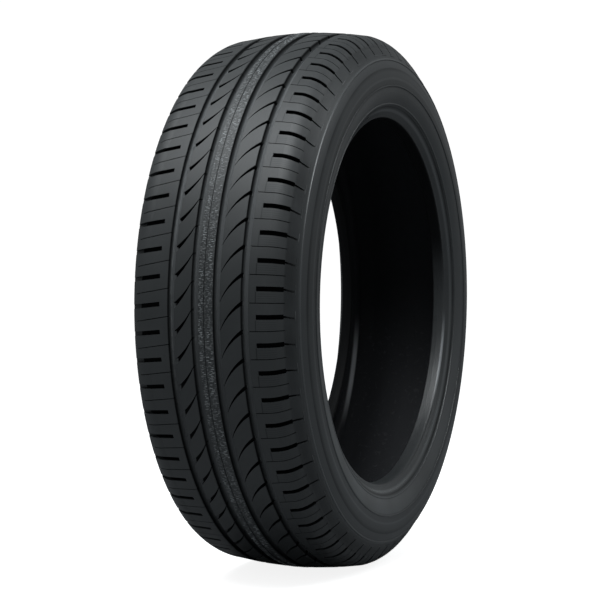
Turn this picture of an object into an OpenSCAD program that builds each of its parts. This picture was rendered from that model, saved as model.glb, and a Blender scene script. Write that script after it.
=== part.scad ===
// Car tyre, off the rim, standing on its tread
// All sizes in mm. The axis runs along Y, the road face is at the bottom,
// and the origin lies on the axis midway between the two bead seats.

/* [Overall] */
// tread diameter over the crown
outer_d = 646.8; // [620:0.4:780]
// bead seat diameter
seat_d = 436.6; // [360:0.2:440]
// width over the two bead faces
bead_w = 145.6; // [120:0.2:176]
// how far both beads sit over towards the near side
bead_shift = 17.5; // [0:0.5:22]
// depth of the contact flat at the bottom
flat_depth = 0.6; // [0.2:0.1:1.5]

/* [Crown and shoulders] */
// width of the crown between the shoulder curves
crown_w = 140; // [130:1:170]
// fall of the crown from its middle to the shoulder curves
crown_drop = 6; // [4:0.5:9]
// thickness from the tread face to the liner
crown_t = 16; // [14:0.5:22]
// half width at the end of the near shoulder curve
near_shoulder_y = 88; // [86:0.5:92]
// depth of that point below the crown
near_shoulder_drop = 21; // [18:0.5:25]
// half width at the end of the far shoulder curve
far_shoulder_y = 89.5; // [86:0.5:92]
// depth of that point below the crown
far_shoulder_drop = 13; // [11:0.5:15]

/* [Walls] */
// wall thickness between shoulder and bead
wall_t = 8; // [6:0.5:9.6]
// bulge of the near wall beyond its chord
near_bulge = 11.5; // [8:0.5:14]
// bulge of the far wall beyond its chord
far_bulge = 0.8; // [0.4:0.2:4]
// height of the thin ridges on the near wall
ridge_h = 0.9; // [0.4:0.1:1.4]
// radii of these ridges
ridge_rs = [288, 257, 236];

/* [Beads] */
// width of a bead from heel to toe
bead_t = 16; // [13:0.5:19]
// height of the bead above its seat
bead_h = 12; // [10:0.5:16]
// rounding of the heel
heel_r = 3; // [2:0.5:4]
// rise of the seat from the toe to the heel
seat_rise = 1.1; // [0.6:0.1:1.6]
// length of the straight part of the seat
seat_flat = 5.5; // [4:0.5:8]

/* [Grooves] */
// centre of the first groove from the middle of the tread
groove_1_y = -40; // [-42:0.2:-38]
// centre of the second groove
groove_2_y = -10.8; // [-12.4:0.2:-9]
// centre of the third groove
groove_3_y = 15; // [13.6:0.2:16.4]
// centre of the fourth groove
groove_4_y = 46.9; // [45.5:0.1:48.5]
// width of the grooves at the tread face
groove_w = 8.6; // [7:0.2:10]
// depth of the grooves
groove_depth = 8; // [6.4:0.2:9.6]
// narrowing of the grooves towards the bottom, each side
groove_draft = 0.9; // [0.4:0.1:1.4]
// rounding of the groove bottom
groove_fillet = 2; // [1:0.2:2.5]

/* [Pattern] */
// number of repeats round the tread
pitches = 66; // [54:1:78]
// height of the first near slot above the axis, in degrees round the tread
first_slot = 4; // [0:0.25:5]
// width of the near shoulder slots
slot_w = 5.3; // [4.2:0.1:6.4]
// width of the far shoulder slots
far_slot_w = 4.9; // [4:0.1:5.8]
// depth of the shoulder slots
slot_depth = 5.6; // [4.4:0.2:6.8]
// width of the sipes
sipe_w = 0.9; // [0.7:0.1:1.2]
// depth of the sipes
sipe_depth = 3.8; // [3:0.2:4.6]
// depth of the curved strokes
stroke_depth = 6; // [4.8:0.2:7.2]
// width of a stroke at its thick end
stroke_w = 5; // [4:0.1:6]
// width and depth of the fine line along the middle rib
line_w = 1.3; // [0.8:0.1:2]

/* [Hidden] */
$fn = 144;
eps = 1;

outer_r = outer_d / 2;
seat_r = seat_d / 2;
pitch_a = 360 / pitches;
crown_y = crown_w / 2;
near_bead_y = bead_w / 2 + bead_shift;
far_bead_y = bead_w / 2 - bead_shift;
bead_top_r = seat_r + bead_h;
line_y = groove_2_y + 11.3;
// lean of the bead face between its top and the heel
near_lean = 5.4;
far_lean = 1.5;
// outline points, all as [radius, axial place]
near_crown = [outer_r - crown_drop, crown_y];
near_shoulder = [outer_r - near_shoulder_drop, near_shoulder_y];
near_top = [bead_top_r, near_bead_y + near_lean];
far_crown = [outer_r - crown_drop, -crown_y];
far_edge = [outer_r - far_shoulder_drop, -far_shoulder_y];
far_shoulder = [outer_r - far_shoulder_drop - 8, -far_shoulder_y + 5];
far_top = [bead_top_r, -(far_bead_y + far_lean)];
// liner points
liner_y = crown_y - 12;
liner_drop = crown_drop * 0.7;
near_liner = [outer_r - crown_t - liner_drop, liner_y];
near_liner_shoulder = near_shoulder + [-14, 7.5 - wall_t];
near_liner_top = [bead_top_r + 4, near_bead_y + 2.7 - wall_t];
far_liner = [outer_r - crown_t - liner_drop, -liner_y];
far_liner_shoulder = far_shoulder + [-9.5, 3.6 + wall_t];
far_liner_top = far_top + [4.5, wall_t - 1];

function unit(v) = v / norm(v);
function arc_r(p, q, s) = (pow(norm(q - p) / 2, 2) + s * s) / (2 * s);
function arc_mid(p, q, s) = (p + q) / 2 + unit([(q - p)[1], -(q - p)[0]]) * (s - arc_r(p, q, s));
// n points of the arc from p to q that stands s off its chord, right of the way; q is left out
function arc(p, q, s, n) =
    let (c = arc_mid(p, q, s), v = p - c, a = 4 * atan(2 * s / norm(q - p)) / n)
    [for (i = [0:n - 1]) c + [v[0] * cos(i * a) - v[1] * sin(i * a), v[0] * sin(i * a) + v[1] * cos(i * a)]];
// height of the crown at axial place y
function crown(y) =
    let (k = arc_r(far_crown, near_crown, crown_drop))
    outer_r - k + sqrt(k * k - y * y);
// axial place of the near wall at radius r
function near_wall(r) =
    let (c = arc_mid(near_shoulder, near_top, near_bulge), k = arc_r(near_shoulder, near_top, near_bulge))
    c[1] + sqrt(k * k - pow(r - c[0], 2));

// heel, seat and toe of one bead, from the face inward; side is 1 near and -1 far
function bead(y, side) = [
    [seat_r + seat_rise + 0.3 * heel_r, side * (y - 0.3 * heel_r)],
    [seat_r + seat_rise, side * (y - heel_r)],
    [seat_r, side * (y - bead_t + seat_flat + 1.5)],
    [seat_r, side * (y - bead_t + 1.5)],
    [seat_r + 1.5, side * (y - bead_t)]
];
near_face = [seat_r + seat_rise + heel_r, near_bead_y];
far_face = [seat_r + seat_rise + heel_r, -far_bead_y];

// solid outline, up the near side, in along the liner and back down the far side
module outline() {
    far = bead(far_bead_y, -1);
    polygon(concat(
        [for (y = [groove_1_y, groove_2_y, groove_3_y, groove_4_y]) [crown(y), y]],
        arc(near_crown, near_shoulder, 2.3, 5),
        arc(near_shoulder, near_top, near_bulge, 18),
        [near_top, near_face],
        bead(near_bead_y, 1),
        arc(near_liner_top, near_liner_shoulder, 2 - near_bulge, 12),
        arc(near_liner_shoulder, near_liner, -4, 5),
        arc(near_liner, far_liner, -liner_drop, 6),
        arc(far_liner, far_liner_shoulder, -4, 6),
        arc(far_liner_shoulder, far_liner_top, -1.5, 4),
        [far_liner_top, far[4], far[3], far[2], far[1], far[0], far_face],
        arc(far_top, far_shoulder, far_bulge, 6),
        arc(far_shoulder, far_edge, 2.6, 4),
        arc(far_edge, far_crown, 1.6, 4),
        [far_crown]
    ));
}

// groove cross-section, standing on the tread face at axial place y
module groove(y) {
    low = crown(y) - groove_depth;
    half = groove_w / 2;
    base = half - groove_draft - groove_fillet;
    polygon([
        [crown(y) + eps, y - half - 0.2],
        [low + groove_fillet, y - half + groove_draft],
        [low + groove_fillet, y + half - groove_draft],
        [crown(y) + eps, y + half + 0.2]
    ]);
    translate([low, y - base]) square([groove_fillet, 2 * base]);
    translate([low + groove_fillet, y - base]) circle(groove_fillet);
    translate([low + groove_fillet, y + base]) circle(groove_fillet);
}

module section() {
    difference() {
        union() {
            outline();
            for (r = ridge_rs) translate([r, near_wall(r) - 0.4]) circle(ridge_h + 0.4);
        }
        for (y = [groove_1_y, groove_2_y, groove_3_y, groove_4_y]) groove(y);
        translate([crown(line_y) - line_w * 0.7, line_y - line_w / 2]) square([line_w + eps, line_w]);
    }
}

// cutter with outline pts in the plane of radius and axial place, w wide along the tread
module blade(pts, w) {
    rotate([90, 0, 0]) translate([0, 0, -w / 2]) linear_extrude(w) polygon(pts);
}

// near shoulder slot: square inner end, full width over the edge, thin tail down the wall
module near_slot() {
    top = outer_r + eps;
    in = groove_4_y + 12.6;
    out = near_shoulder_y - 2;
    tip = near_shoulder_y + 7;
    edge_r = outer_r - near_shoulder_drop;
    blade([[top, in], [crown(in) - slot_depth, in], [crown(out) - slot_depth - 5, out - 9],
        [edge_r - 3, out], [top, out]], slot_w);
    translate([0, 0, out]) rotate([-15, 0, 0]) translate([0, 0, -out])
    blade([[top, out - 4], [edge_r - 1, out - 4], [edge_r - 8, tip - 2], [edge_r - 8, tip], [top, tip]], slot_w * 0.4);
}

// far shoulder slot, leaning a little along the tread and running out over the edge
module far_slot() {
    top = outer_r + eps;
    in = groove_1_y - 14.2;
    out = -far_shoulder_y - 1.5;
    translate([0, 0, in]) rotate([6, 0, 0]) translate([0, 0, -in])
    blade([[top, in], [crown(in) - slot_depth, in], [crown(in) - 1.7 * slot_depth, out + 10],
        [outer_r - far_shoulder_drop - 1.2, out], [top, out]], far_slot_w);
}

// thin cut from a groove out over the shoulder
module near_sipe() {
    top = outer_r + eps;
    in = groove_4_y + 1;
    low = crown(in) - sipe_depth;
    blade([[top, in], [low, in], [low - 3, near_shoulder_y - 16],
        [outer_r - near_shoulder_drop - 1, near_shoulder_y - 1], [top, near_shoulder_y - 1]], sipe_w);
}

module far_sipe() {
    top = outer_r + eps;
    in = groove_1_y - 1;
    low = crown(in) - sipe_depth;
    translate([0, 0, in]) rotate([9, 0, 0]) translate([0, 0, -in])
    blade([[top, in], [low, in], [low - 2, in - 26], [low - 5, in - 44], [top, in - 44]], sipe_w);
}

// crescent in the plan of [along the tread, axial place]: stroke_w wide at p, thinning to a point at q,
// its outer arc standing s off the chord, right of the way from p to q, and its inner arc a little more
module crescent(p, q, s) {
    half = unit([-(q - p)[1], (q - p)[0]]) * stroke_w / 2;
    inner_s = s + stroke_w * 0.12;
    difference() {
        translate(arc_mid(p - half, q, s)) circle(arc_r(p - half, q, s));
        translate(arc_mid(p + half, q, inner_s)) circle(arc_r(p + half, q, inner_s));
    }
}

// sink a plan straight into the tread
module sink(depth) {
    translate([crown(groove_4_y) - depth, 0, 0]) rotate([90, 0, 90]) linear_extrude(depth + crown_drop) children();
}

// stroke that opens into the fourth groove and thins out towards the third
module near_stroke() {
    sink(stroke_depth) intersection() {
        crescent([-16, groove_4_y - 1], [20, groove_3_y + 2.5], 4);
        translate([-28, groove_3_y + groove_w / 2 - 1]) square([56, groove_4_y - groove_3_y - groove_w / 2 - 1]);
    }
}

// stroke with a square end beside the first groove that thins out towards the second
module far_stroke() {
    sink(stroke_depth) intersection() {
        crescent([18, groove_1_y + 5.6], [-15, groove_2_y], 2);
        translate([-28, groove_1_y]) square([56, groove_2_y - groove_1_y - groove_w / 2 + 1]);
    }
}

module pattern() {
    for (i = [0:pitches - 1]) rotate([0, 0, i * pitch_a - first_slot]) {
        near_slot();
        near_stroke();
        far_stroke();
        far_sipe();
        rotate([0, 0, -pitch_a * 0.42]) far_slot();
        rotate([0, 0, -pitch_a / 2]) near_sipe();
    }
}

module tyre() {
    color([0.13, 0.135, 0.14])
    difference() {
        rotate([-90, 0, 0])
        translate([0, 0, -bead_shift])
        difference() {
            rotate_extrude() section();
            pattern();
        }
        translate([-outer_r, -bead_w, -outer_r - 10]) cube([outer_d, 2 * bead_w, 10 + flat_depth]);
    }
}

tyre();
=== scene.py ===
# %% [markdown]
# # A car tyre, off its rim, standing on its tread
# The tyre is one moulded piece of black rubber, so its whole form comes from the CAD
# frame: the grooves, slots, sipes and strokes of the tread, the walls, the beads and
# the open inside. This lesson gives that form its finish: rubber that is satin on the
# tread, ringed by the mould on the walls and sooty inside, and the small moulding
# marks that only show close up. It starts by loading the frame.

import math
import random
from types import SimpleNamespace

import bmesh
import bpy
from mathutils import Matrix, Vector


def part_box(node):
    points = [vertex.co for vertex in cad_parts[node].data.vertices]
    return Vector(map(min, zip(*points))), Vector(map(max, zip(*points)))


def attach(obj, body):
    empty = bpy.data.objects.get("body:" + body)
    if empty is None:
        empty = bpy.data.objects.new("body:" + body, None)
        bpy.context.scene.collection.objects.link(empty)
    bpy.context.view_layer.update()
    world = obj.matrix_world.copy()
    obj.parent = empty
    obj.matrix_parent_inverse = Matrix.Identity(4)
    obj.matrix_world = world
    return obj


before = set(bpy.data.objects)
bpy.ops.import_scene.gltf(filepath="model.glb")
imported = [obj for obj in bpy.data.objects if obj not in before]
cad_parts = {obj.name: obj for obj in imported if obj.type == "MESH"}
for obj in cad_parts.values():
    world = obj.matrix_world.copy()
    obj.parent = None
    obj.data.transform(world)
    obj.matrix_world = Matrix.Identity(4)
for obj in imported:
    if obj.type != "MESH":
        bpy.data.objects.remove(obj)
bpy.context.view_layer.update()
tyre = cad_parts["tyre"]
low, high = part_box("tyre")
outer_r = high[2]
print("tyre loaded:", len(tyre.data.polygons), "faces, outer radius", round(outer_r, 4))

# %% [markdown]
# ## Places that the other steps share
# The axis of the tyre runs along Y and the frame's origin lies midway between the
# beads. Both beads sit a little towards +Y, so the middle of the tread is at a small
# negative Y. Sizes are in metres, and most are counted from the middle of the tread.

# %% Shared places
tread_y = -0.0175
repeats = 66
first_slot_angle = math.radians(4)
pitch_angle = 2 * math.pi / repeats
crown_half = 0.070
crown_drop = 0.006
shoulder_bend = 36
groove_places = (-0.0400, -0.0108, 0.0150, 0.0469)
groove_half = 0.0043
rib_start, rib_end = -0.0064, 0.0107
print("tread middle at y", tread_y, "with", repeats, "repeats")

# %% [markdown]
# ## Camera
# The photograph was taken with a long lens from a little above the axis, turned so
# that the tread fills the left and the open side shows at the right. A long lens far
# away keeps the two ends of the axis nearly the same size. The camera is placed on a
# sphere round the middle of the tread, then aimed slightly to one side of it.

# %% Place the camera
azimuth = math.radians(112.19)
elevation = math.radians(1.88)
camera_distance = 7.5045 * outer_r
focal_mm = 119.3
aim_aside = 0.0649 * outer_r

tread_middle = Vector((0, tread_y, 0))
right = Vector((math.cos(azimuth), math.sin(azimuth), 0))
forward = Vector((-math.sin(azimuth) * math.cos(elevation),
                  math.cos(azimuth) * math.cos(elevation), -math.sin(elevation)))
camera_place = tread_middle - forward * camera_distance
look = (tread_middle - right * aim_aside - camera_place).normalized()
side = look.cross(Vector((0, 0, 1))).normalized()
camera_up = side.cross(look)

camera_data = bpy.data.cameras.new("camera")
camera_data.lens = focal_mm
camera_data.sensor_width = 36
camera = bpy.data.objects.new("camera", camera_data)
bpy.context.scene.collection.objects.link(camera)
camera.matrix_world = Matrix.Translation(camera_place) @ Matrix(
    (side, camera_up, -look)).transposed().to_4x4()
bpy.context.scene.camera = camera
print("camera at", [round(v, 3) for v in camera_place])

# %% [markdown]
# ## Rubber grain, as a shared effect
# Moulded rubber is never perfectly even: it carries a fine orange-peel grain from the
# mould and a cloudy film of dust and wax. Both the tyre and the small marks on it need
# that, so it is a node group that puts out two values, and each material sets how
# coarse the grain is.

# %% Build the grain group
fine_grain = 900


def new_node(tree, kind, **settings):
    node = tree.nodes.new(kind)
    for name, value in settings.items():
        setattr(node, name, value)
    return node


def grain_group():
    group = bpy.data.node_groups.new("rubber grain", "ShaderNodeTree")
    for name, way in (("Grain Scale", "INPUT"), ("Cloud Scale", "INPUT"),
                      ("Grain", "OUTPUT"), ("Cloud", "OUTPUT")):
        group.interface.new_socket(name, in_out=way, socket_type="NodeSocketFloat")
    inputs = new_node(group, "NodeGroupInput")
    outputs = new_node(group, "NodeGroupOutput")
    place = new_node(group, "ShaderNodeTexCoord")
    for name, detail in (("Grain", 3), ("Cloud", 4)):
        texture = new_node(group, "ShaderNodeTexNoise")
        texture.inputs["Detail"].default_value = detail
        group.links.new(place.outputs["Object"], texture.inputs["Vector"])
        group.links.new(inputs.outputs[name + " Scale"], texture.inputs["Scale"])
        group.links.new(texture.outputs["Fac"], outputs.inputs[name])
    return group


rubber_grain = grain_group()
print("group", rubber_grain.name, "with", len(rubber_grain.nodes), "nodes")

# %% [markdown]
# ## Small helpers for node trees
# A material is a chain of sums, so short helpers keep it readable. One makes a math
# step, and three more name the steps that come up most. Then come a smooth rise and a
# soft band that is 1 between two values and 0 outside.

# %% Helpers for numbers
def math_node(tree, operation, first, second=None, third=None, clamp=False):
    node = new_node(tree, "ShaderNodeMath", operation=operation, use_clamp=clamp)
    for socket, value in zip(node.inputs, (first, second, third)):
        if value is None:
            continue
        if isinstance(value, (int, float)):
            socket.default_value = value
        else:
            tree.links.new(value, socket)
    return node.outputs[0]


def times(tree, first, *others):
    for other in others:
        first = math_node(tree, "MULTIPLY", first, other)
    return first


def scaled(tree, value, factor, start):
    """value times factor, plus start."""
    return math_node(tree, "MULTIPLY_ADD", value, factor, start)


def opposite(tree, mask):
    """1 where the mask is 0, and 0 where it is 1."""
    return math_node(tree, "SUBTRACT", 1, mask, clamp=True)


def rise(tree, value, start, end):
    """0 below start, 1 above end, smooth between them."""
    node = new_node(tree, "ShaderNodeMapRange", interpolation_type="SMOOTHSTEP")
    tree.links.new(value, node.inputs["Value"])
    node.inputs["From Min"].default_value = start
    node.inputs["From Max"].default_value = end
    return node.outputs["Result"]


def band(tree, value, start, end, soft):
    """1 between start and end, 0 outside, with soft edges."""
    up = rise(tree, value, start - soft, start + soft)
    down = rise(tree, value, end - soft, end + soft)
    return math_node(tree, "SUBTRACT", up, down)


print("helpers for numbers ready")

# %% [markdown]
# ## Helpers for colours and noise
# The Mix node has one set of sockets for each kind of value, so the colour and vector
# mixes pick their sockets by type. The noise helper sets a Noise Texture on a vector.

# %% Helpers for colours and noise
def mix_colour(tree, mask, below, above):
    """below where the mask is 0, above where it is 1; both may be colours or sockets."""
    node = new_node(tree, "ShaderNodeMix", data_type="RGBA")
    tree.links.new(mask, node.inputs["Factor"])
    colours = [socket for socket in node.inputs if socket.type == "RGBA"]
    for socket, value in zip(colours, (below, above)):
        if isinstance(value, tuple):
            socket.default_value = (*value, 1)
        else:
            tree.links.new(value, socket)
    return [socket for socket in node.outputs if socket.type == "RGBA"][0]


def mix_vector(tree, mask, below, above):
    node = new_node(tree, "ShaderNodeMix", data_type="VECTOR")
    tree.links.new(mask, node.inputs["Factor"])
    vectors = [socket for socket in node.inputs if socket.type == "VECTOR" and socket.name in "AB"]
    tree.links.new(below, vectors[0])
    tree.links.new(above, vectors[1])
    return [socket for socket in node.outputs if socket.type == "VECTOR"][0]


def vector_node(tree, operation, *values):
    node = new_node(tree, "ShaderNodeVectorMath", operation=operation)
    sockets = (node.inputs[0], node.inputs["Scale"]) if operation == "SCALE" else node.inputs
    for socket, value in zip(sockets, values):
        if isinstance(value, tuple):
            socket.default_value = value
        else:
            tree.links.new(value, socket)
    return node.outputs["Value" if operation == "DOT_PRODUCT" else "Vector"]


def noise(tree, vector, scale, detail, distortion=0):
    node = new_node(tree, "ShaderNodeTexNoise")
    node.inputs["Scale"].default_value = scale
    node.inputs["Detail"].default_value = detail
    node.inputs["Distortion"].default_value = distortion
    tree.links.new(vector, node.inputs["Vector"])
    return node.outputs["Fac"]


def grain_node(tree, cloud_scale):
    node = new_node(tree, "ShaderNodeGroup", node_tree=rubber_grain)
    node.inputs["Grain Scale"].default_value = fine_grain
    node.inputs["Cloud Scale"].default_value = cloud_scale
    return node.outputs


print("helpers for colours and noise ready")

# %% [markdown]
# ## Where a point of the tyre is
# One rubber runs all over the tyre, but it meets the light differently from place to
# place. The distance from the axis and the place along it say where a point is, so
# the material works those out first from the Object coordinates. The depth below the
# outside needs the outside's own fall, which is a flat curve on the crown and a
# steeper one on the shoulders.

# %% Find the place of a point
def place_on_tyre(tree):
    coordinates = new_node(tree, "ShaderNodeTexCoord").outputs["Object"]
    split = new_node(tree, "ShaderNodeSeparateXYZ")
    tree.links.new(coordinates, split.inputs[0])
    x, y, z = split.outputs
    radius = math_node(tree, "SQRT", math_node(
        tree, "ADD", times(tree, x, x), times(tree, z, z)))
    along = math_node(tree, "SUBTRACT", y, tread_y)

    width = math_node(tree, "ABSOLUTE", along)
    crown_fall = times(tree, math_node(tree, "POWER", width, 2), crown_drop / crown_half ** 2)
    past_crown = math_node(tree, "MAXIMUM", math_node(tree, "SUBTRACT", width, crown_half), 0)
    edge_fall = times(tree, math_node(tree, "POWER", past_crown, 2), shoulder_bend)
    fall = math_node(tree, "ADD", crown_fall, edge_fall)
    depth = math_node(tree, "SUBTRACT", math_node(tree, "SUBTRACT", outer_r, fall), radius)
    return SimpleNamespace(coordinates=coordinates, x=x, z=z, radius=radius, along=along, depth=depth)


print("the rubber can tell radius, place along the axis and depth")

# %% [markdown]
# ## Zones of the rubber
# From those three numbers come masks. The tread is all that is less than about a
# centimetre deep. What is sunk below its face is a cut, and the cuts get painted shade,
# near black, apart from the bottoms of the four straight grooves, which get painted
# light. The inside lies deeper, the walls are what is left, and the bead seats are the
# smallest radii; they are darker, the far one all round and the near one, with painted
# shade, on its upper half.

# %% Mark the zones
tread_span = (-0.0885, 0.086)
tread_depth = 0.0110
cut_depths = (0.0004, 0.0016)
bottom_depths = (0.0012, 0.0072)
inside_span = (-0.0790, 0.0735)
inside_depths = (0.0120, 0.0140)
seat_radii = (0.2196, 0.2206)
# heights over which the painted shade on the near seat fades in
seat_shade_heights = (0.000, 0.080)
zone_soft, groove_soft = 0.001, 0.0004


def zones_of_tyre(tree, at):
    on_tread = times(tree, band(tree, at.along, *tread_span, zone_soft),
                     math_node(tree, "LESS_THAN", at.depth, tread_depth))
    sunk = times(tree, on_tread, rise(tree, at.depth, *cut_depths))
    inside = times(tree, band(tree, at.along, *inside_span, zone_soft),
                   rise(tree, at.depth, *inside_depths))
    wall = opposite(tree, math_node(tree, "MAXIMUM", on_tread, inside))

    in_groove = 0
    for centre in groove_places:
        here = band(tree, at.along, centre - groove_half, centre + groove_half, groove_soft)
        in_groove = math_node(tree, "ADD", in_groove, here)
    # painted light on the bottoms of the four straight grooves
    low_down = times(tree, on_tread, rise(tree, at.depth, *bottom_depths))
    lit_bottom = math_node(tree, "MULTIPLY", in_groove, low_down, clamp=True)
    # painted shade: the cuts, apart from the groove bottoms, take the near-black colour
    cut_shade = times(tree, sunk, opposite(tree, lit_bottom))

    # the far seat is darker all round; the near one gets painted shade on its upper half
    dark_seat_part = math_node(tree, "MAXIMUM", math_node(tree, "LESS_THAN", at.along, 0),
                           rise(tree, at.z, *seat_shade_heights))
    seat = times(tree, dark_seat_part, opposite(tree, rise(tree, at.radius, *seat_radii)))
    return SimpleNamespace(sunk=sunk, inside=inside, wall=wall, lit_bottom=lit_bottom,
                           cut_shade=cut_shade, seat=seat)


print("zones: tread, cuts, lit bottoms, inside, wall, seats")

# %% [markdown]
# ## Tones of the wall
# The wall is ringed in tones, of grey and of shine, from the bead edge to the shoulder:
# a painted highlight on the bead edge and on the ridge near the shoulder, painted shade
# in two creases, and lighter and darker bands between. A table gives the tone at a few
# radii and is joined by straight lines. Painted light lifts the near wall low down
# beside the bead, most of it on the front half, and painted shade darkens the outermost
# part below.

# %% Tone the wall
# (distance from the axis, tone): painted highlight on the bead edge, painted shade in a
# crease, grey band, dull band, rings with painted shade in a second crease and a
# painted highlight on the ridge
wall_tones = ((0.2260, 1.00), (0.2285, 2.20), (0.2305, 1.00), (0.2325, 0.30), (0.2350, 1.50),
              (0.2535, 1.50), (0.2565, 0.80), (0.2640, 0.90), (0.2650, 1.40), (0.2665, 1.40),
              (0.2675, 1.05), (0.2735, 1.05), (0.2775, 0.55), (0.2790, 1.20), (0.2860, 1.30),
              (0.2885, 1.80), (0.2910, 1.00), (0.2980, 0.72))
# painted light low on the near wall beside the bead, most on the front half
painted_light_heights, painted_light_radii = (-0.150, 0.030), (0.255, 0.278)
painted_light_front, painted_light_more, painted_light_least = (-0.100, 0.120), 0.50, 0.25
# painted shade on the outermost part of the wall below
painted_shade_heights, painted_shade_radii, painted_shade_factor = (-0.290, -0.220), (0.280, 0.300), -0.30


def tone_by_radius(tree, radius):
    """The tone of wall_tones at this radius, with straight lines between the given places."""
    tone = wall_tones[0][1]
    for (start, before), (end, after) in zip(wall_tones, wall_tones[1:]):
        node = new_node(tree, "ShaderNodeMapRange")
        tree.links.new(radius, node.inputs["Value"])
        node.inputs["From Min"].default_value = start
        node.inputs["From Max"].default_value = end
        node.inputs["To Min"].default_value = 0
        node.inputs["To Max"].default_value = after - before
        tone = math_node(tree, "ADD", node.outputs["Result"], tone)
    return tone


def wall_tone(tree, at, zone):
    above_one = math_node(tree, "SUBTRACT", tone_by_radius(tree, at.radius), 1)
    tone = scaled(tree, above_one, zone.wall, 1)
    # painted light: lightens the near wall low down beside the bead
    painted_light_low = times(tree, zone.wall, opposite(tree, rise(tree, at.z, *painted_light_heights)),
                     opposite(tree, rise(tree, at.radius, *painted_light_radii)))
    share = scaled(tree, rise(tree, at.x, *painted_light_front), painted_light_more, painted_light_least)
    # painted shade: darkens the outermost part of the wall below
    painted_shade_low = times(tree, zone.wall, opposite(tree, rise(tree, at.z, *painted_shade_heights)),
                      rise(tree, at.radius, *painted_shade_radii))
    return times(tree, tone, scaled(tree, painted_light_low, share, 1), scaled(tree, painted_shade_low, painted_shade_factor, 1))


print("wall tones at", len(wall_tones), "radii")

# %% [markdown]
# ## Fine lines on the near shoulder
# Between two near slots the rubber has lines that are too thin to model: one runs
# along the tread at the slots' inner ends and four cross the rib. They only darken
# the rubber. The angle round the axis, counted in pitches, says where between two
# slots a point is.

# %% Draw the fine lines
line_phases = (0.58, 0.66, 0.74, 0.82)
phase_soft = 0.012
frame_line, frame_soft = (0.0585, 0.0597), 0.0002
cross_lines, cross_soft, cross_share = (0.0600, 0.0800), 0.001, 0.45
sipe_phase, slot_phase = 0.50, 0.90
line_darkening = -0.45


def fine_lines(tree, at):
    """How dark the fine lines are here: 0 off them, up to 1 on the line at the slots' inner ends."""
    turn = math_node(tree, "SUBTRACT", math_node(tree, "ARCTAN2", at.z, at.x), first_slot_angle)
    phase = math_node(tree, "FRACT", math_node(tree, "DIVIDE", turn, pitch_angle))
    across = 0
    for centre in line_phases:
        here = band(tree, phase, centre - phase_soft, centre + phase_soft, phase_soft)
        across = math_node(tree, "ADD", across, here)
    across = times(tree, across, band(tree, at.along, *cross_lines, cross_soft))
    edge = times(tree, band(tree, at.along, *frame_line, frame_soft),
                 band(tree, phase, sipe_phase, slot_phase, phase_soft))
    return math_node(tree, "MULTIPLY_ADD", across, cross_share, edge, clamp=True)


print("fine lines:", len(line_phases), "across and one along each slot")

# %% [markdown]
# ## Stipple on the middle rib
# The face of the middle rib is rough, and its specks catch the light: they are painted
# as a fine pale stipple, a painted highlight, and they also go into the bump. A noise
# drawn out across the tread gives specks longer that way, and a mask keeps them
# on the rib's face and out of the cuts.

# %% Stipple the middle rib
stipple_stretch = (1.0, 0.6, 1.0)
stipple_scale, stipple_detail = 560, 2
stipple_range, stipple_soft = (0.50, 0.68), 0.0004


def rib_stipple(tree, at, zone):
    stretched = new_node(tree, "ShaderNodeMapping")
    stretched.inputs["Scale"].default_value = stipple_stretch
    tree.links.new(at.coordinates, stretched.inputs["Vector"])
    specks = noise(tree, stretched.outputs[0], stipple_scale, stipple_detail)
    return times(tree, band(tree, at.along, rib_start, rib_end, stipple_soft),
                 opposite(tree, zone.sunk), rise(tree, specks, *stipple_range))


print("stipple between", rib_start, "and", rib_end)

# %% [markdown]
# ## Painted highlights and marks inside
# The inside is dull and dark, but three things show on it low down: a pale streak
# beside the far bead, which is a painted highlight, fine marks such as dried release
# agent leaves, and painted highlights on the edges of the two beads. Each is a mask of
# its own.

# %% Mark the streak, the dried marks and the heel highlights
streak_heights, streak_height_soft = (-0.150, -0.060), 0.035
streak_span, streak_soft = (-0.0660, -0.0605), 0.0015
dried_scale, dried_detail, dried_distortion = 190, 4, 0.6
dried_range, dried_top, dried_share = (0.58, 0.70), -0.040, 0.035
heel_radii, heel_soft = (0.2196, 0.2222), 0.0003
far_heel_span, far_heel_soft, far_heel_share = (-0.0558, -0.0532), 0.0004, 0.25
near_heel_start = 0.080
near_heel_heights, near_heel_soft = (-0.120, -0.045), 0.030


def inside_streak_and_marks(tree, at, zone):
    # painted highlight: a pale streak low down beside the far bead
    streak_highlight = times(tree, math_node(tree, "LESS_THAN", at.x, 0),
                   band(tree, at.z, *streak_heights, streak_height_soft),
                   band(tree, at.along, *streak_span, streak_soft))
    marks = noise(tree, at.coordinates, dried_scale, dried_detail, dried_distortion)
    dried = times(tree, rise(tree, marks, *dried_range),
                  math_node(tree, "LESS_THAN", at.z, dried_top), dried_share)
    return times(tree, zone.inside, math_node(tree, "MAXIMUM", streak_highlight, dried))


# painted highlights on the heel edges: the far heel all round, the near one low down on the side away
# from the camera
def heel_highlights(tree, at):
    far_heel = times(tree, band(tree, at.along, *far_heel_span, far_heel_soft), far_heel_share)
    near_heel = times(tree, math_node(tree, "LESS_THAN", at.x, 0),
                      band(tree, at.z, *near_heel_heights, near_heel_soft),
                      math_node(tree, "GREATER_THAN", at.along, near_heel_start))
    return times(tree, band(tree, at.radius, *heel_radii, heel_soft),
                 math_node(tree, "MAXIMUM", far_heel, near_heel))


print("traces inside: streak, dried marks, heel edges")

# %% [markdown]
# ## Colour of the rubber
# The rubber is a dark, slightly cold grey. The colours go on in layers: the face and
# the wall with its tones, then dust in clouds, the stipple's painted highlights, the
# painted light on the groove bottoms, the painted shade in the cuts, the inside with its
# painted streak and its marks, and last the darker seats, with painted shade on the
# near one, and the painted highlights on the heels.

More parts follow.
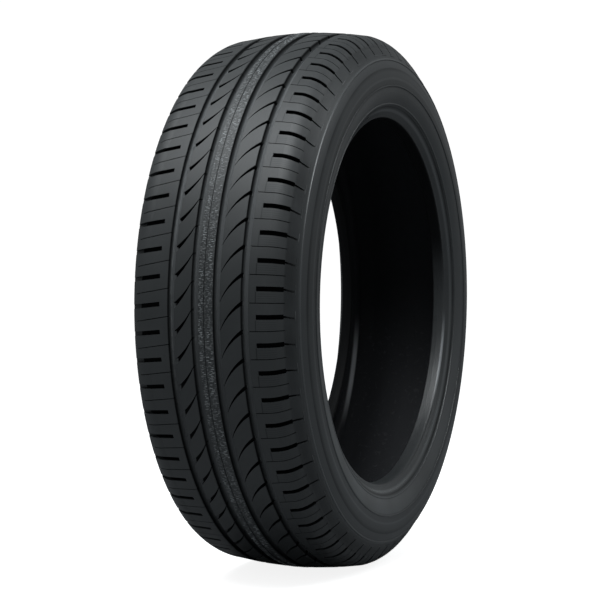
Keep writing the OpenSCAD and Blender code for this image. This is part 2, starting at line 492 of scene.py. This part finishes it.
# %% Colour the rubber
face_grey = (0.0190, 0.0212, 0.0222)
dusty_grey = (0.0250, 0.0275, 0.0288)
wall_grey = (0.0185, 0.0206, 0.0218)
# painted shade in the cuts and on the near seat's upper half; the far seat takes it all round
painted_shade_black = (0.0055, 0.0058, 0.0062)
# painted light: a grey far paler than the face, on the groove bottoms
bottom_painted_light = (0.0800, 0.0850, 0.0880)
liner_black = (0.0200, 0.0208, 0.0230)
# painted highlight for the streak inside; also the colour of the dried marks
streak_highlight_and_marks = (0.3000, 0.3100, 0.3200)
# painted highlight on the heel edges
heel_highlight_pale = (0.2200, 0.2300, 0.2400)
# painted highlight: the pale colour of the stipple on the middle rib
stipple_highlight_grey = (0.240, 0.250, 0.255)
dust_clouds, stipple_share = (0.35, 0.75), 0.35


def rubber_colour(tree, at, zone, tone, cloud, stipple):
    colour = vector_node(tree, "SCALE", mix_colour(tree, zone.wall, face_grey, wall_grey), tone)
    layers = ((rise(tree, cloud, *dust_clouds), dusty_grey),
              (times(tree, stipple, stipple_share), stipple_highlight_grey),
              (zone.lit_bottom, bottom_painted_light),
              (zone.cut_shade, painted_shade_black),
              (zone.inside, liner_black),
              (inside_streak_and_marks(tree, at, zone), streak_highlight_and_marks),
              (zone.seat, painted_shade_black),
              (heel_highlights(tree, at), heel_highlight_pale))
    for mask, shade in layers:
        colour = mix_colour(tree, mask, colour, shade)
    return colour


print("rubber colours ready")

# %% [markdown]
# ## Gloss of the rubber
# The clouds make the rubber a little rougher here and there. Cuts are rougher still,
# the wall is smoother, and the edge of the bead is the smoothest, so that it shows as
# a bright line. Nearly all the shine is taken from the cuts and the seats, as part of
# their dark colour and painted shade, and from the inside, and the rings of the wall
# differ in shine as they do in tone.

# %% Set the gloss
cloud_rough, base_rough = 0.16, 0.40
sunk_rough, wall_rough, bead_rough = 0.20, -0.08, -0.12
bead_edge_radii, bead_edge_soft = (0.2268, 0.2300), 0.0004
shine_dulling = 0.9
full_shine = 0.5


def rubber_roughness(tree, at, zone, cloud):
    rough = scaled(tree, cloud, cloud_rough, base_rough)
    rough = scaled(tree, zone.sunk, sunk_rough, rough)
    rough = scaled(tree, zone.wall, wall_rough, rough)
    bead_edge = times(tree, zone.wall, band(tree, at.radius, *bead_edge_radii, bead_edge_soft))
    return math_node(tree, "MULTIPLY_ADD", bead_edge, bead_rough, rough, clamp=True)


def rubber_shine(tree, zone, tone):
    # nearly no shine in the cuts, the inside and the seats, as part of their dark colour and painted
    # shade
    dulled = math_node(tree, "MAXIMUM", zone.cut_shade, math_node(tree, "MAXIMUM", zone.inside, zone.seat))
    return times(tree, scaled(tree, times(tree, dulled, shine_dulling), -full_shine, full_shine), tone)


print("gloss from", base_rough + wall_rough + bead_rough, "to", base_rough + cloud_rough + sunk_rough)

# %% [markdown]
# ## The round outside
# The outline of the CAD tyre is made of arcs with few segments, and in raking light
# each one would show as a flat ring. The real surface is round, so where the mesh
# lies within a few degrees of the arc, the shader uses the arc's own normal. Each arc
# has a centre in the section, given as a radius and a place along the axis.

# %% Round the outside
crown_centre = (-0.0879, 0.0)
near_shoulder_centre = (0.28786, 0.06064)
near_wall_centre = (0.26089, 0.04074)
far_shoulder_centre = (0.28309, -0.06869)
near_wall_r, far_edge_r = 0.3024, 0.3104
match_range = (0.985, 0.993)


def arc_direction(tree, at, centre):
    """Direction away from the centre of an arc that is turned round the Y axis."""
    outward = math_node(tree, "SUBTRACT", 1, math_node(tree, "DIVIDE", centre[0], at.radius))
    flat = vector_node(tree, "MULTIPLY", at.coordinates, (1, 0, 1))
    axial = new_node(tree, "ShaderNodeCombineXYZ")
    tree.links.new(math_node(tree, "SUBTRACT", at.along, centre[1]), axial.inputs["Y"])
    total = vector_node(tree, "ADD", vector_node(tree, "SCALE", flat, outward), axial.outputs[0])
    return vector_node(tree, "NORMALIZE", total)


def round_normal(tree, at):
    ideal = arc_direction(tree, at, crown_centre)
    past_near = math_node(tree, "GREATER_THAN", at.along, crown_half)
    on_wall = times(tree, past_near, math_node(tree, "LESS_THAN", at.radius, near_wall_r))
    past_far = times(tree, math_node(tree, "LESS_THAN", at.along, -crown_half),
                     math_node(tree, "GREATER_THAN", at.radius, far_edge_r))
    for mask, centre in ((past_near, near_shoulder_centre), (on_wall, near_wall_centre),
                         (past_far, far_shoulder_centre)):
        ideal = mix_vector(tree, mask, ideal, arc_direction(tree, at, centre))
    shown = new_node(tree, "ShaderNodeNewGeometry").outputs["Normal"]
    match = vector_node(tree, "DOT_PRODUCT", shown, ideal)
    return mix_vector(tree, rise(tree, match, *match_range), shown, ideal)


print("round normals for crown, shoulders and near wall")

# %% [markdown]
# ## Bumps of the rubber
# Three reliefs are small parts of a millimetre high: the turned rings of the mould
# on the walls, the orange-peel grain all over, and the stipple on the rib. One Bump
# node carries their sum, on top of the round normal.

# %% Raise the bumps
ring_scale, ring_detail = 700, 1
grain_height, stipple_height = 0.5, 1.5
bump_strength, bump_distance = 0.35, 0.0003


def rubber_normal(tree, at, zone, grain, stipple):
    radius_only = new_node(tree, "ShaderNodeCombineXYZ")
    tree.links.new(at.radius, radius_only.inputs["X"])
    rings = times(tree, noise(tree, radius_only.outputs[0], ring_scale, ring_detail), zone.wall)
    height = scaled(tree, stipple, stipple_height, scaled(tree, grain, grain_height, rings))
    bump = new_node(tree, "ShaderNodeBump")
    bump.inputs["Strength"].default_value = bump_strength
    bump.inputs["Distance"].default_value = bump_distance
    tree.links.new(height, bump.inputs["Height"])
    tree.links.new(round_normal(tree, at), bump.inputs["Normal"])
    return bump.outputs["Normal"]


print("bumps up to", bump_distance * 1000, "mm")

# %% [markdown]
# ## Tyre rubber
# All the steps above now come together in one material, which goes on the tyre in
# place of the plain one that came with the frame.

# %% Make the tyre rubber
tyre_clouds = 14


def new_material(name):
    material = bpy.data.materials.new(name)
    material.use_nodes = True
    return material, material.node_tree, material.node_tree.nodes["Principled BSDF"].inputs


def tyre_rubber():
    material, tree, shader = new_material("tyre_rubber")
    at = place_on_tyre(tree)
    zone = zones_of_tyre(tree, at)
    tone = times(tree, wall_tone(tree, at, zone), scaled(tree, fine_lines(tree, at), line_darkening, 1))
    grain = grain_node(tree, tyre_clouds)
    stipple = rib_stipple(tree, at, zone)
    for name, value in (
            ("Base Color", rubber_colour(tree, at, zone, tone, grain["Cloud"], stipple)),
            ("Roughness", rubber_roughness(tree, at, zone, grain["Cloud"])),
            ("Specular IOR Level", rubber_shine(tree, zone, tone)),
            ("Normal", rubber_normal(tree, at, zone, grain["Grain"], stipple))):
        tree.links.new(value, shader[name])
    return material


tyre.data.materials.clear()
tyre.data.materials.append(tyre_rubber())
print("tyre material:", tyre.data.materials[0].name)

# %% [markdown]
# ## Rubber of the small marks
# Two marks stand proud of the rubber and are too small for the CAD source: short
# ticks on the middle rib and short bars at the ends of the near slots. Their rubber
# shares the grain of the tyre and mixes a dark and a pale colour in small clouds; the
# paleness is a painted highlight for the light that the raised marks catch.

# %% Make the rubber of the marks
mark_clouds = 60
mark_cloud_range = (0.35, 0.65)
mark_rough = 0.5


def mark_rubber(name, dark, pale):
    material, tree, shader = new_material(name)
    cloud = rise(tree, grain_node(tree, mark_clouds)["Cloud"], *mark_cloud_range)
    tree.links.new(mix_colour(tree, cloud, dark, pale), shader["Base Color"])
    shader["Roughness"].default_value = mark_rough
    return material


# the pale colours of the ticks and the bars are painted highlights
tick_rubber = mark_rubber("tick_rubber", (0.09, 0.095, 0.10), (0.32, 0.34, 0.35))
bar_rubber = mark_rubber("bar_rubber", (0.022, 0.024, 0.025), (0.065, 0.068, 0.070))
print("mark materials:", tick_rubber.name, bar_rubber.name)

# %% [markdown]
# ## Ticks on the middle rib
# The middle rib is roughened by short raised ticks on both sides of its fine line.
# Each is a small box that sits half in the rubber and follows the crown. Their
# lengths and places differ at random, some are missing, and the flat spot under the
# tyre stays free. The seed keeps them the same each run.

# %% Add the ticks
tick_seed = 5
tick_steps = 1056
tick_wide, tick_proud = 0.0005, 0.0003
tick_short, tick_long = 0.0012, 0.0036
tick_gaps = 0.22
line_y, line_clear = 0.0005, 0.0008
flat_half_angle = math.radians(5)
lowest_angle = 1.5 * math.pi


def add_object(name, shape, material):
    mesh = bpy.data.meshes.new(name)
    shape.to_mesh(mesh)
    shape.free()
    mesh.materials.append(material)
    added = bpy.data.objects.new(name, mesh)
    bpy.context.scene.collection.objects.link(added)
    return added


def add_piece(name, shape, material):
    piece = add_object(name, shape, material)
    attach(piece, "root")
    return piece


def crown_radius(y):
    return outer_r - crown_drop * (y / crown_half) ** 2


random.seed(tick_seed)
shape = bmesh.new()
for step in range(tick_steps):
    angle = 2 * math.pi * step / tick_steps
    for start, end in ((rib_start, line_y - line_clear), (line_y + line_clear, rib_end)):
        length = random.uniform(tick_short, tick_long)
        y = random.uniform(start + length / 2, end - length / 2)
        if random.random() < tick_gaps or abs(angle - lowest_angle) < flat_half_angle:
            continue
        turn = Matrix.Rotation(-angle, 4, "Y")
        place = Matrix.Translation((crown_radius(y), tread_y + y, 0))
        size = Matrix.Diagonal((2 * tick_proud, length, tick_wide, 1))
        bmesh.ops.create_cube(shape, size=1, matrix=turn @ place @ size)
ticks = add_piece("rib_ticks", shape, tick_rubber)
print("ticks:", len(ticks.data.polygons), "faces")

# %% [markdown]
# ## Bars at the ends of the near slots
# Each slot of the near shoulder ends at a short raised bar that runs along the tread.
# A ray that is cast at the shoulder from outside finds the place and the slope of the
# rubber there, so that every bar lies flat on it.

# %% Add the bars
bar_y = 0.0945
bar_long, bar_wide, bar_proud = 0.0110, 0.0008, 0.0004

shape = bmesh.new()
for step in range(repeats):
    angle = first_slot_angle + step * pitch_angle
    outward = Vector((math.cos(angle), 0, math.sin(angle)))
    start = outward * 2 * outer_r + Vector((0, tread_y + bar_y, 0))
    _, point, normal, _ = tyre.ray_cast(start, -outward)
    along_tread = Vector((-math.sin(angle), 0, math.cos(angle)))
    across = along_tread.cross(normal).normalized()
    turn = Matrix((across, along_tread, normal)).transposed().to_4x4()
    size = Matrix.Diagonal((bar_wide, bar_long, 2 * bar_proud, 1))
    bmesh.ops.create_cube(shape, size=1, matrix=Matrix.Translation(point) @ turn @ size)
bars = add_piece("slot_end_bars", shape, bar_rubber)
print("bars:", len(bars.data.polygons), "faces")

# %% [markdown]
# ## Lamps
# The photograph is a cut-out on pure white, lit from above: the top of the tread is
# the brightest place and the lower half falls off to near black. A wide soft lamp
# hangs overhead on the tread's side, a smaller one brightens the top of the crown and
# a weak one over the open side draws the rings of the wall.

# %% Hang the lamps
cool_white = (0.94, 0.98, 1.0)


def area_lamp(name, place, wide, high, power):
    data = bpy.data.lights.new(name, "AREA")
    data.shape = "RECTANGLE"
    data.size = wide
    data.size_y = high
    data.energy = power
    data.color = cool_white
    lamp = bpy.data.objects.new(name, data)
    bpy.context.scene.collection.objects.link(lamp)
    lamp.location = place
    lamp.rotation_euler = (-Vector(place)).to_track_quat("-Z", "Y").to_euler()
    return lamp


area_lamp("overhead", (0.80, -0.45, 1.60), 2.0, 1.2, 26)
area_lamp("crown", (0.72, 0.50, 1.38), 0.8, 0.8, 13)
area_lamp("rim", (-0.60, 1.60, 1.50), 0.8, 0.8, 6)

# %% [markdown]
# ## Backdrop
# The world gives a little light from all round. The white that the camera sees comes
# from Light Path: a camera ray gets a strength just above 1, and every other ray the
# weak light.

# %% Set the backdrop
soft_light = 0.26
seen_more = 0.79
plain_white = (1, 1, 1)

world = bpy.data.worlds.new("studio")
bpy.context.scene.world = world
world.use_nodes = True
tree = world.node_tree
backdrop = tree.nodes["Background"].inputs
to_camera = new_node(tree, "ShaderNodeLightPath").outputs["Is Camera Ray"]
tree.links.new(scaled(tree, to_camera, seen_more, soft_light), backdrop["Strength"])
tree.links.new(mix_colour(tree, to_camera, cool_white, plain_white), backdrop["Color"])
bpy.context.scene.view_settings.view_transform = "Standard"
print("backdrop strength for the camera:", soft_light + seen_more)

# %% [markdown]
# ## Floor
# The tyre stands on a plain floor. To the camera the floor is nearly white by itself,
# and the light that falls on it lifts it to full white, so that only the soft shadow
# under the tread stays. To every other ray it is a plain mid grey, because a white
# floor would throw too much light up at the lower half of the tyre.

# %% Lay the floor
floor_half = 6.0
floor_rough = 0.9
seen_grey = (0.80, 0.80, 0.80)
bounce_grey = (0.28, 0.29, 0.30)
own_light = 0.86

material, tree, shader = new_material("floor_white")
shader["Roughness"].default_value = floor_rough
shader["Specular IOR Level"].default_value = 0
shader["Emission Color"].default_value = (*plain_white, 1)
to_camera = new_node(tree, "ShaderNodeLightPath").outputs["Is Camera Ray"]
tree.links.new(mix_colour(tree, to_camera, bounce_grey, seen_grey), shader["Base Color"])
tree.links.new(times(tree, to_camera, own_light), shader["Emission Strength"])

shape = bmesh.new()
bmesh.ops.create_grid(shape, x_segments=1, y_segments=1, size=floor_half,
                      matrix=Matrix.Translation((0, 0, low[2])))
floor = add_object("floor", shape, material)
print("floor at", round(low[2], 4))
